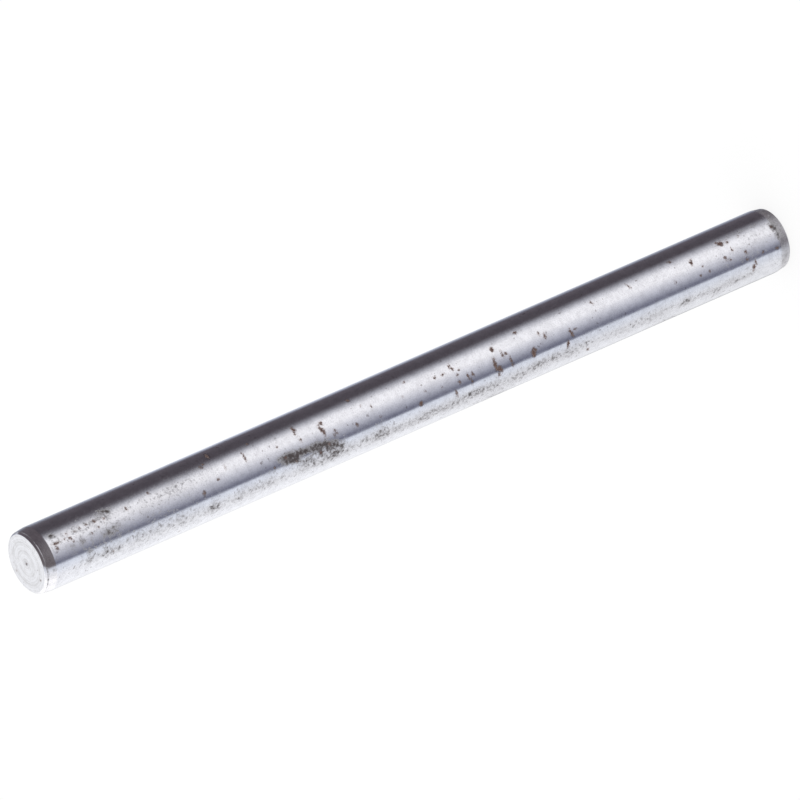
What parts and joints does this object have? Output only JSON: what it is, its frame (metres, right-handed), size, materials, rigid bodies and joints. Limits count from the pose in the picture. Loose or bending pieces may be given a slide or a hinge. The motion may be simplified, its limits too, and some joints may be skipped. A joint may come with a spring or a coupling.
{
  "type": "dowel pin",
  "caption": "Long parallel steel dowel pin with a lead-in chamfer at each end, for locating or hinging parts in matching round holes.",
  "frame": {"origin": "centre of the plain end face, which the pin stands on", "axes": "+Z along the pin's axis, from the plain end up to the end with the centre mark; X and Y are any two directions across it"},
  "size_m": [0.008, 0.008, 0.11],
  "materials": {
    "steel": "ground steel, bright but worn, with rust pits and grey storage stains"
  },
  "bodies": {
    "root": {"dowel_pin": "steel"}
  },
  "joints": []
}
